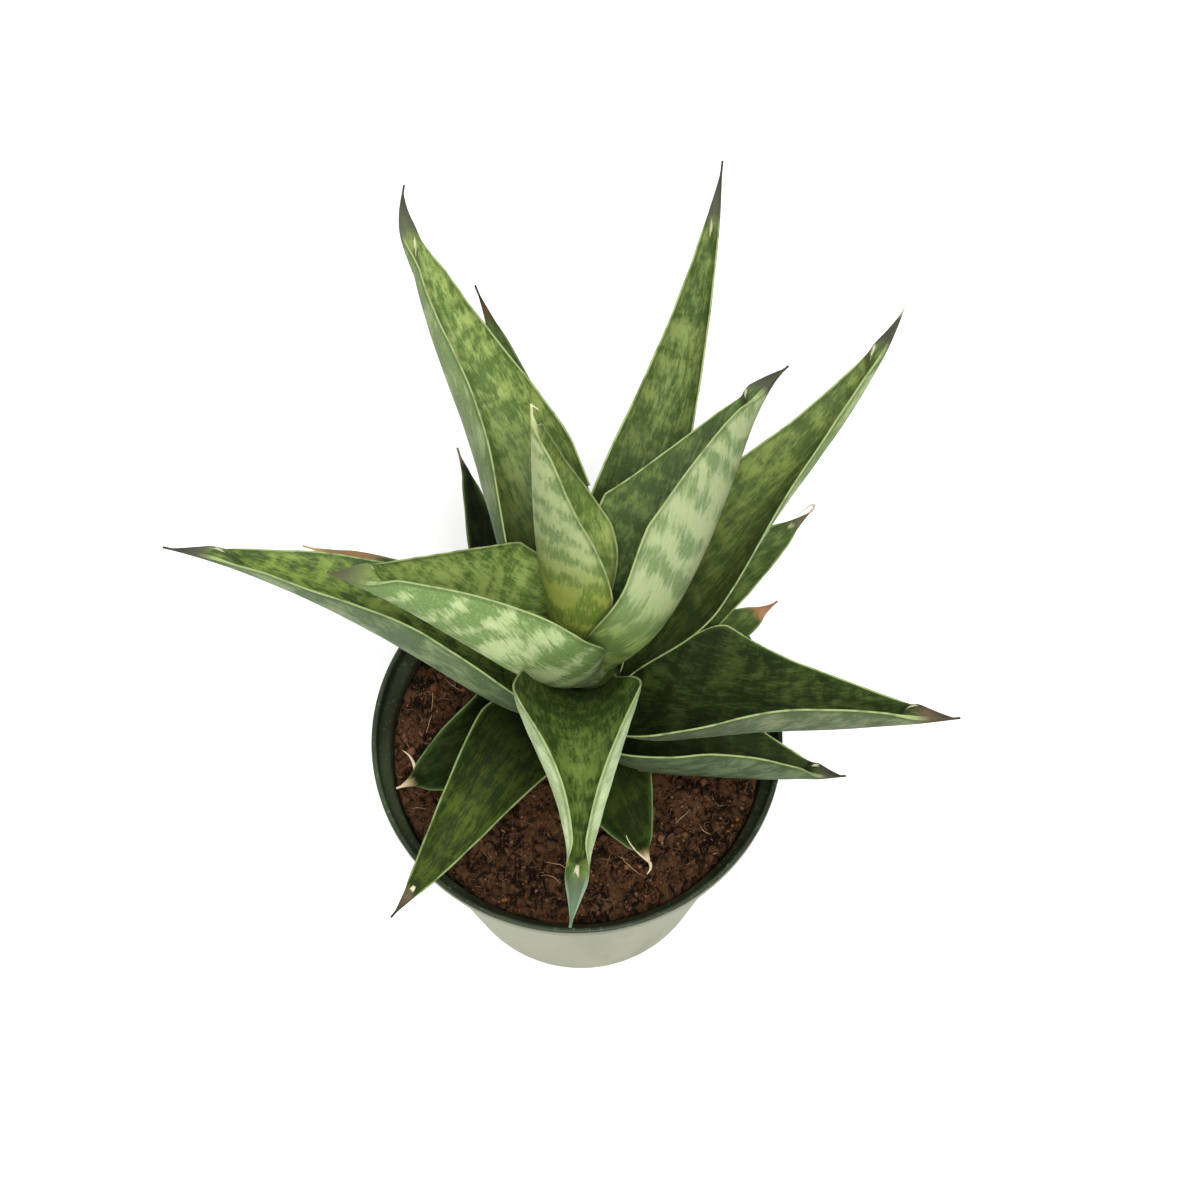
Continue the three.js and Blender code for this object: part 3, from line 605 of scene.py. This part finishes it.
def with_margin(n, look, noises, edge, colour):
    """The colour with a thin pale line along the margin, worn in places, and a darker line beside it."""
    colour = n.mix(n.span(edge, 1.5, 0.35, 0.0, 0.5), colour, rgb(MARGIN_SHADE))
    strong = look["line"]
    worn = n.span(noises["worn"], 0.3, 0.55, 0.4 * strong, strong)
    line = n.math("MULTIPLY", n.span(edge, 0.26, 0.08), worn)
    return n.mix(line, colour, rgb(MARGIN_LINE))


def with_needle(n, look, noises, across, share, back, off, colour):
    """The colour with a dry end, and on the upper face a dark smudge and a small cream mark before it."""
    uneven = n.blend((noises["blotch"], 0.05), (noises["streak"], 0.05), (0.05, -1.0))
    reach = n.math("ADD", share, uneven)
    start, point = (rgb(code) for code in look["needle"])
    turn, dried = look["turn"], look["dry"]
    dry = n.mix(n.span(share, turn, 0.5 + 0.5 * turn + 0.02), start, point)
    if look["hem"]:
        dry = n.mix(n.span(off, 0.5, 0.85, 0.0, 0.8), dry, rgb(look["hem"]))
    colour = n.mix(n.span(reach, dried, dried + 0.05, 0.0, 0.95), colour, dry)
    if not look["slot"]:
        return colour

    offset = n.math("ABSOLUTE", across)
    front = n.span(back, 0.5, 0.1)

    def spot(middle, far, near, wide, narrow):
        """A spot that fills in over far..near along the leaf and wide..narrow across it."""
        distance = n.math("ABSOLUTE", n.math("SUBTRACT", reach, middle))
        amount = n.math("MULTIPLY", n.span(distance, far, near), n.span(offset, wide, narrow))
        return n.math("MULTIPLY", amount, front)

    smudge = spot(dried - 0.017, 0.022, 0.008, 2.6, 0.9)
    mark = spot(dried + 0.008, 0.015, 0.007, 0.85, 0.4)
    colour = n.mix(n.math("MULTIPLY", smudge, 0.75 * look["slot"]), colour, rgb(SMUDGE))
    return n.mix(n.math("MULTIPLY", mark, look["slot"]), colour, rgb(CREAM))


def leaf_material(name, look):
    n = Nodes("leaf_" + name)
    flat = n.attribute("flat", "Vector")
    share, back, edge, off = (n.attribute(key) for key in ("share", "back", "edge", "off"))
    across, along = n.add("ShaderNodeSeparateXYZ", None, Vector=flat).outputs[:2]
    noises = {key: n.noise(n.scaled(flat, fine), 1.0, *rest) for key, (fine, *rest) in LEAF_NOISES.items()}

    colour = n.mix(back, upper_colour(n, look, noises), back_colour(n, look, noises, along, share, off))
    # painted shade: towards the root the colour darkens to a third of the leaf's darker green, for the shade
    # deep in the rosette
    if look["deep"]:
        painted_root_shade = shade(rgb(look["upper"][0]), 0.3)
        colour = n.mix(n.span(share, 0.62, 0.12, 0.0, look["deep"]), colour, painted_root_shade)
    colour = with_margin(n, look, noises, edge, colour)
    colour = with_needle(n, look, noises, across, share, back, off, colour)
    n.surface(colour, n.span(noises["sheen"], 0.3, 0.7, 0.54, 0.68), look["gloss"])
    n.bump(n.blend((noises["veins"], 0.6), (noises["grain"], 0.4)), 0.35, 0.00035)
    return n.material


def pot_material():
    n = Nodes("pot_plastic")
    place = n.add("ShaderNodeTexCoord").outputs["Object"]
    zone = n.attribute("zone")
    cloud = n.noise(place, 34.0, 4, 0.55, 0.6)
    streak = n.noise(n.scaled(place, (70, 70, 9)), 1.0, 3, 0.6, 0.3)
    speck = n.noise(place, 900.0, 2, 0.6)
    body = n.mix(n.span(cloud, 0.3, 0.7), rgb("#787b62"), rgb("#8e9078"))
    body = n.mix(n.span(streak, 0.5, 0.72, 0.0, 0.4), body, rgb("#666b54"))
    rim = n.mix(n.span(cloud, 0.35, 0.65), rgb("#1c2416"), rgb("#2f3a24"))
    rim = n.mix(n.span(speck, 0.58, 0.72, 0.0, 0.4), rim, rgb("#5a6a50"))
    colour = n.mix(zone, body, rim)
    height = n.add("ShaderNodeSeparateXYZ", None, Vector=place).outputs[2]
    # darker brown in blotches low on the inside wall, just above the soil
    darker_near_soil = n.math("MULTIPLY", n.span(height, 0.091, 0.0855), n.span(zone, 0.6, 1.0))
    darker_near_soil = n.math("MULTIPLY", darker_near_soil, n.span(n.noise(place, 160.0, 4, 0.7), 0.35, 0.6))
    colour = n.mix(n.math("MULTIPLY", darker_near_soil, 0.7), colour, rgb("#2e2119"))
    n.surface(colour, n.span(cloud, 0.3, 0.7, 0.45, 0.6), 0.25)
    n.bump(n.math("ADD", n.math("MULTIPLY", speck, 0.5), streak), 0.12, 0.0004)
    return n.material


def soil_material():
    n = Nodes("peat_and_coir")
    place = n.add("ShaderNodeTexCoord").outputs["Object"]
    lump = n.noise(place, 300.0, 5, 0.66, 0.9)
    fibre = n.noise(n.scaled(place, (900, 240, 500)), 1.0, 4, 0.6, 1.6)
    crumb = n.noise(place, 1300.0, 3, 0.65)
    patch = n.noise(place, 70.0, 3, 0.55, 0.4)
    # painted shade: the near-black lows are partly the peat's own dark and partly shade painted into the
    # hollows between lumps
    colour = n.mix(n.span(n.blend((lump, 0.75), (patch, 0.25)), 0.44, 0.57), rgb("#0f0804"), rgb("#452e1c"))
    colour = n.mix(n.span(fibre, 0.54, 0.7, 0.0, 0.6), colour, rgb("#5e432e"))
    colour = n.mix(n.span(crumb, 0.58, 0.76, 0.0, 0.45), colour, rgb("#7d6048"))
    # painted shade: near-black in the gaps between crumbs, over the peat's own dark
    colour = n.mix(n.span(crumb, 0.42, 0.3, 0.0, 0.7), colour, rgb("#120a06"))
    n.surface(colour, n.span(lump, 0.3, 0.7, 0.82, 0.97), 0.06)
    n.bump(n.math("ADD", n.math("MULTIPLY", fibre, 0.6), n.math("MULTIPLY", crumb, 0.5)), 0.9, 0.0014)
    return n.material


def crumb_material():
    n = Nodes("loose_crumbs")
    place = n.add("ShaderNodeTexCoord").outputs["Object"]
    tone = n.attribute("tone")
    grain = n.noise(place, 700.0, 3, 0.6)
    colour = n.mix(n.span(tone, 0.0, 1.0), rgb("#2c1a10"), rgb("#6f4d36"))
    colour = n.mix(n.span(grain, 0.45, 0.7, 0.0, 0.6), colour, rgb("#482d1f"))
    n.surface(colour, n.span(grain, 0.3, 0.7, 0.8, 0.95), 0.06)
    n.bump(grain, 0.6, 0.0006)
    return n.material


def fibre_material():
    n = Nodes("root_fibres")
    place = n.add("ShaderNodeTexCoord").outputs["Object"]
    tone = n.attribute("tone")
    grain = n.noise(place, 1400.0, 2, 0.5)
    colour = n.mix(tone, rgb("#432b1e"), rgb("#8c7153"))
    colour = n.mix(n.span(grain, 0.5, 0.7, 0.0, 0.5), colour, rgb("#6e4e3a"))
    n.surface(colour, n.span(grain, 0.3, 0.7, 0.6, 0.8), 0.15)
    return n.material


def stem_material():
    n = Nodes("stem_in_painted_shade")
    place = n.add("ShaderNodeTexCoord").outputs["Object"]
    ring = n.noise(n.scaled(place, (20, 20, 420)), 1.0, 3, 0.5)
    cloud = n.noise(place, 160.0, 3, 0.6)
    # the stem is painted a dark green: painted shade where it shows deep between the leaves' bases
    colour = n.mix(n.span(ring, 0.4, 0.62), rgb("#394b1f"), rgb("#4f642b"))
    colour = n.mix(n.span(cloud, 0.5, 0.75, 0.0, 0.6), colour, rgb("#414e24"))
    n.surface(colour, n.span(cloud, 0.3, 0.7, 0.5, 0.7), 0.5)
    n.bump(ring, 0.4, 0.0006)
    return n.material


# ---- pieces ----
def add_filament(points, faces, fields, path, width, share):
    """Adds a dry thread to a leaf's mesh data: path in millimetres, from a thick root to a thin end."""
    start = len(points)
    radii = [lerp(width, THREAD_END, i / (len(path) - 1)) for i in range(len(path))]
    rings, quads = strand(path, radii)
    points.extend(rings)
    faces.extend(tuple(start + i for i in face) for face in quads)
    count = len(rings)
    fields["share"].extend([share] * count)
    fields["back"].extend([0.3] * count)
    fields["edge"].extend([2.0] * count)
    fields["off"].extend([0.5] * count)
    fields["flat"].extend([(9.0, i * 0.3, 5.0) for i in range(count)])


def bezier(a, b, c, d, steps=12):
    t = np.linspace(0, 1, steps)[:, None]
    q = 1 - t
    a, b, c, d = (np.asarray(v, float) for v in (a, b, c, d))
    return q**3 * a + 3 * q * q * t * b + 3 * q * t * t * c + t**3 * d


def needle_frame(grid):
    """The needle's end, its direction, and a side and an up vector across it."""
    end = grid[-1].mean(0)
    way = end - grid[-8].mean(0)
    way /= np.linalg.norm(way)
    side = np.cross(way, [0, 0, 1.0])
    side /= np.linalg.norm(side)
    return end, way, side, np.cross(side, way)


def filaments(name, grid):
    """Dry threads at some tips, each as (path, width, share)."""
    end, way, side, up = needle_frame(grid)
    if name == "06":
        start = end - 0.5 * way
        hook = bezier(start, start + [-0.3, 0, 0], start + [0.3, 0.2, 0.3], start + [1.4, -0.6, -0.6])
        return [(hook, 0.26, 1.0)]
    if name == "14":
        start = end - 0.5 * way
        curl = bezier(start, start + 3 * way + 2 * up, start - 1 * way + 6 * up, start - 6 * way + 4.5 * up)
        return [(curl, 0.4, 0.99)]
    if name == "13":
        start = end - 1.0 * way
        back = [start - 3 * way + side * 1.6, start - 6 * way + side * 3, start - 9 * way + side * 2.6]
        ahead = [start + 1.5 * way, start + 2 * way + side, start + 2.4 * way + 2 * side]
        return [(bezier(start, *back), 0.35, 0.99), (bezier(start, *ahead), 0.5, 0.99)]
    if name == "12":
        start = grid[-10].mean(0)
        thread = bezier(start, start + 3 * side, start + 6 * side - way, start + 9 * side + 1.5 * way)
        return [(thread, 0.8, 0.99)]
    return []


def drop_loose_points(mesh, faces):
    loose = set(range(len(mesh.vertices))) - {v for face in faces for v in face}
    if loose:
        bm = bmesh.new()
        bm.from_mesh(mesh)
        bm.verts.ensure_lookup_table()
        bmesh.ops.delete(bm, geom=[bm.verts[i] for i in loose], context="VERTS")
        bm.to_mesh(mesh)
        bm.free()


def build_leaves():
    younger = []
    for name in LEAVES:
        grid, fields, outer, share = leaf_grid(name)
        rings, count = grid.shape[:2]
        faces = leaf_faces(rings, count, tucked(grid, share, younger))
        points = [tuple(p) for p in grid.reshape(-1, 3)]
        fields = {key: values.tolist() for key, values in fields.items()}
        for thread in filaments(name, grid):
            add_filament(points, faces, fields, *thread)
        piece = mesh_object("leaf_blade_" + name, points, faces, fields)
        drop_loose_points(piece.data, faces)
        finish_piece(piece, "leaf", leaf_material(name, LOOKS[name]), "leaf_" + name)
        younger.append(outer_tree(outer))


def body_radius(height):
    body_height = POT["height"] - POT["lip_thickness"] - POT["collar_height"]
    return lerp(POT["base"], POT["body"], height / body_height)


def pot_profile():
    """The pot's section as (radius, height) points from the middle of its base, with a zone for each point.

    Zone 0 is the weathered body and 1 the dark plastic of the lip's top and the inside.
    """
    top, lip, mouth, collar, wall = (POT[key] for key in ("height", "lip", "mouth", "collar", "wall"))
    base, body, floor = POT["base"], POT["body"], POT["floor"]
    collar_top = top - POT["lip_thickness"]
    foot = collar_top - POT["collar_height"]
    flare = [(t, foot + POT["collar_flare"] * t) for t in np.linspace(0, 1, 8)]
    outside = [(0, 0), (20, 0), (base - 1.6, 0), (base - 0.7, 0.25), (body_radius(0.9), 0.9)]
    outside += [(body_radius(h), h) for h in np.linspace(1.8, foot - 0.4, 18)]
    outside += [(lerp(body, collar, float(smooth(0, 1, t))), h) for t, h in flare]
    outside += [(collar, collar_top - 0.4), (collar + 0.1, collar_top)]
    rim_side = [(lip - 0.15, collar_top + 0.1), (lip, collar_top + 0.4), (lip, top - 0.5)]
    rim_top = [(lip - 0.12, top - 0.14), (lip - 0.4, top), (mouth + 0.4, top), (mouth + 0.1, top - 0.1)]
    inside = [(mouth, h) for h in np.linspace(top - 0.4, foot + POT["collar_flare"] + 0.6, 5)]
    inside += [(lerp(body - wall, mouth, float(smooth(0, 1, t))), h) for t, h in reversed(flare)]
    inside += [(body_radius(h) - wall, h) for h in np.linspace(foot - 2, floor + 0.6, 16)]
    inside += [(body_radius(2) - wall - 0.6, floor), (20, floor), (0, floor)]
    zones = [COLLAR_ZONE if height > foot else 0.0 for _, height in outside] + [RIM_ZONE] * len(rim_side)
    zones += [1.0] * (len(rim_top) + len(inside))
    return outside + rim_side + rim_top + inside, zones


def drain_cutter():
    """Upright pegs where the drainage holes go."""
    points, faces = [], []
    for i in range(DRAIN_COUNT):
        centre = heading(360 / DRAIN_COUNT * (i + 0.5)) * DRAIN_CIRCLE
        start = len(points)
        for height in (-3.0, 4.0):
            for j in range(DRAIN_SIDES):
                points.append(centre + heading(360 / DRAIN_SIDES * j) * DRAIN_RADIUS + [0, 0, height])
        high = start + DRAIN_SIDES
        faces += ring_faces(start, high, DRAIN_SIDES)
        faces.append(tuple(reversed(range(start, high))))
        faces.append(tuple(range(high, high + DRAIN_SIDES)))
    return mesh_object("drain_cutter", points, faces)


def build_pot():
    profile, zones = pot_profile()
    points, faces, zone = [], [], []
    for (radius, height), tone in zip(profile, zones):
        for j in range(POT_SIDES):
            a = 2 * math.pi * j / POT_SIDES
            points.append((radius * math.cos(a), radius * math.sin(a), height))
            zone.append(tone)
    for i in range(len(profile) - 1):
        faces += ring_faces(i * POT_SIDES, (i + 1) * POT_SIDES, POT_SIDES)
    piece = mesh_object("nursery_pot", points, faces, dict(zone=zone))
    bm = bmesh.new()
    bm.from_mesh(piece.data)
    bmesh.ops.remove_doubles(bm, verts=bm.verts, dist=1e-6)
    bmesh.ops.recalc_face_normals(bm, faces=bm.faces)
    bm.to_mesh(piece.data)
    bm.free()

    cutter = drain_cutter()
    cut = piece.modifiers.new("drain", "BOOLEAN")
    cut.operation, cut.object, cut.solver = "DIFFERENCE", cutter, "EXACT"
    bpy.context.view_layer.update()
    solid = bpy.data.meshes.new_from_object(piece.evaluated_get(bpy.context.evaluated_depsgraph_get()))
    piece.modifiers.clear()
    piece.data = solid
    bpy.data.objects.remove(cutter)
    solid.polygons.foreach_set("use_smooth", [True] * len(solid.polygons))
    finish_piece(piece, "pot", pot_material(), "pot")


def soil_height(x, y):
    """The mix's surface: lumps, crumbs and grit, heaped against the wall on the left."""
    height = SOIL_TOP - SOIL_SINK
    for level, (size, fineness, octaves, seed) in enumerate(SOIL_RELIEF):
        height += size * fractal((x * fineness, y * fineness, float(level)), octaves, seed)
    return height + float(SOIL_HEAP * smooth(*HEAP_SPAN, -x))


def build_soil():
    rim = body_radius(SOIL_TOP - 2) - POT["wall"] - 0.15
    points, faces = [], []
    for i in range(SOIL_RINGS):
        radius = rim * (1 - i / SOIL_RINGS) ** 0.9
        for j in range(SOIL_SECTORS):
            a = 2 * math.pi * j / SOIL_SECTORS
            x, y = radius * math.cos(a), radius * math.sin(a)
            height = soil_height(x, y)
            if i == 0:
                height -= 1.2
            points.append((x, y, height))
    points.append((0, 0, soil_height(0, 0)))
    centre = len(points) - 1
    for i in range(SOIL_RINGS - 1):
        faces += ring_faces(i * SOIL_SECTORS, (i + 1) * SOIL_SECTORS, SOIL_SECTORS)
    last = (SOIL_RINGS - 1) * SOIL_SECTORS
    faces += [(last + j, last + (j + 1) % SOIL_SECTORS, centre) for j in range(SOIL_SECTORS)]
    # the block below: down the pot's wall and across its floor
    previous = 0
    for height, inset in ((60, 1.6), (30, 1.6), (3, 1.6), (2.1, 2.6)):
        radius = body_radius(height) - inset
        start = len(points)
        for j in range(SOIL_SECTORS):
            a = 2 * math.pi * j / SOIL_SECTORS
            points.append((radius * math.cos(a), radius * math.sin(a), height))
        faces += ring_faces(start, previous, SOIL_SECTORS)
        previous = start
    faces.append(tuple(reversed(range(previous, previous + SOIL_SECTORS))))
    piece = mesh_object("potting_mix", points, faces)
    finish_piece(piece, "soil", soil_material(), "soil")


def build_crumbs(random):
    points, faces, tone = [], [], []
    for _ in range(CRUMB_COUNT):
        radius, a = CRUMB_CIRCLE * math.sqrt(random.uniform(0.02, 1)), random.uniform(0, 2 * math.pi)
        x, y = radius * math.cos(a), radius * math.sin(a)
        size = random.uniform(0.25, 0.8) * (2.3 if random.random() < 0.12 else 1.0)
        if math.hypot(x, y) + size > CRUMB_LIMIT:
            continue
        centre = np.array([x, y, soil_height(x, y) + size * 0.25])
        angle = random.uniform(0, 6.28)
        turn = np.array(Matrix.Rotation(angle, 3, Vector(random.normal(size=3)).normalized()))
        stretch = random.uniform(0.6, 1.5, 3)
        shape = np.array(OCTAHEDRON, float) * stretch * size * random.uniform(0.75, 1.2, (6, 1))
        start = len(points)
        points += [tuple(v) for v in centre + shape @ turn.T]
        faces += [tuple(start + v for v in face) for face in OCTAHEDRON_FACES]
        tone += [float(random.beta(1.3, 2.4))] * len(OCTAHEDRON)
    crumbs = mesh_object("loose_crumbs", points, faces, dict(tone=tone))
    finish_piece(crumbs, "soil", crumb_material())


def build_fibres(random):
    points, faces, tone = [], [], []
    for index in range(FIBRE_COUNT):
        pale = index < PALE_FIBRES
        radius, a = FIBRE_CIRCLE * math.sqrt(random.uniform(0.03, 1)), random.uniform(0, 2 * math.pi)
        x, y = radius * math.cos(a), radius * math.sin(a)
        length = random.uniform(3.5, 9.5) if pale else random.uniform(1.8, 6.0)
        way, bend = random.uniform(0, 2 * math.pi), random.normal(0, 0.16 if pale else 0.3)
        lift = random.uniform(0.1, 0.7) + (0.25 if pale else 0)
        path = []
        for k in range(FIBRE_STEPS):
            if math.hypot(x, y) > FIBRE_LIMIT:
                break
            rise = lift * math.sin(math.pi * (k + 0.5) / FIBRE_STEPS)
            path.append((x, y, soil_height(x, y) + rise))
            x += length / FIBRE_STEPS * math.cos(way)
            y += length / FIBRE_STEPS * math.sin(way)
            way += bend + random.normal(0, 0.12)
        if len(path) < 4:
            continue
        thick = random.uniform(0.11, 0.2) if pale else random.uniform(0.07, 0.15)
        radii = [thick * (1 - 0.6 * abs(2 * k / (len(path) - 1) - 1)) for k in range(len(path))]
        start = len(points)
        rings, quads = strand(path, radii, 5)
        points += [tuple(v) for v in rings]
        faces += [tuple(start + v for v in face) for face in quads]
        tone += [random.uniform(0.6, 1.0) if pale else random.uniform(0.0, 0.45)] * len(rings)
    fibres = mesh_object("root_fibres", points, faces, dict(tone=tone))
    finish_piece(fibres, "soil", fibre_material())


def build_stem():
    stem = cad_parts["stem"]
    stem.data.materials.clear()
    stem.data.materials.append(stem_material())


# ---- camera, floor and light ----
CAMERA_PLACE = (6.46, -185.22, 559.48)
CAMERA_PITCH, CAMERA_ROLL = 64.289, -0.672  # degrees downwards, and about the line of sight
CAMERA_SENSOR, CAMERA_LENS = 36.0, 57.0
FLOOR_REACH = 3000


def build_camera():
    pitch, roll = math.radians(CAMERA_PITCH), math.radians(CAMERA_ROLL)
    forward = Vector((0, math.cos(pitch), -math.sin(pitch)))
    right = Vector((1, 0, 0))
    up = right.cross(forward)
    turned_right = right * math.cos(roll) + up * math.sin(roll)
    turned_up = up * math.cos(roll) - right * math.sin(roll)
    turn = Matrix((turned_right, turned_up, -forward)).transposed().to_4x4()
    data = bpy.data.cameras.new("camera")
    data.sensor_width, data.lens = CAMERA_SENSOR, CAMERA_LENS
    data.clip_start, data.clip_end = 0.02, 20
    camera = bpy.data.objects.new("camera", data)
    camera.matrix_world = Matrix.Translation(Vector(CAMERA_PLACE) * MM) @ turn
    bpy.context.scene.collection.objects.link(camera)
    bpy.context.scene.camera = camera


def build_floor():
    corners = [(x * FLOOR_REACH, y * FLOOR_REACH, 0) for x, y in ((-1, -1), (1, -1), (1, 1), (-1, 1))]
    floor = mesh_object("floor", corners, [(0, 1, 2, 3)])
    n = Nodes("floor")
    n.surface((0.93, 0.93, 0.925, 1), 0.9, 0.1)
    floor.data.materials.append(n.material)


def area_light(name, where, target, size, power, colour=(1, 1, 1)):
    lamp = bpy.data.lights.new(name, "AREA")
    lamp.shape, lamp.size, lamp.energy, lamp.color = "DISK", size, power, colour
    light = bpy.data.objects.new(name, lamp)
    light.location = where
    light.rotation_euler = (Vector(target) - Vector(where)).to_track_quat("-Z", "Y").to_euler()
    bpy.context.scene.collection.objects.link(light)


def build_light():
    world = bpy.data.worlds.new("world")
    world.use_nodes = True
    background = world.node_tree.nodes["Background"]
    background.inputs["Color"].default_value = (1.0, 1.0, 1.0, 1)
    background.inputs["Strength"].default_value = 0.4
    bpy.context.scene.world = world
    area_light("key", (0.1, -0.6, 1.4), (0, 0, 0.12), 0.9, 31.0, (1.0, 0.995, 0.98))
    area_light("fill", (-0.6, 0.7, 1.0), (0, 0, 0.1), 0.8, 6.0)
    view = bpy.context.scene.view_settings
    view.view_transform = "Standard"
    view.look = "None"


build_camera()
build_floor()
build_light()
build_pot()
build_soil()
grains = np.random.default_rng(SOIL_SEED)
build_crumbs(grains)
build_fibres(grains)
build_stem()
build_leaves()
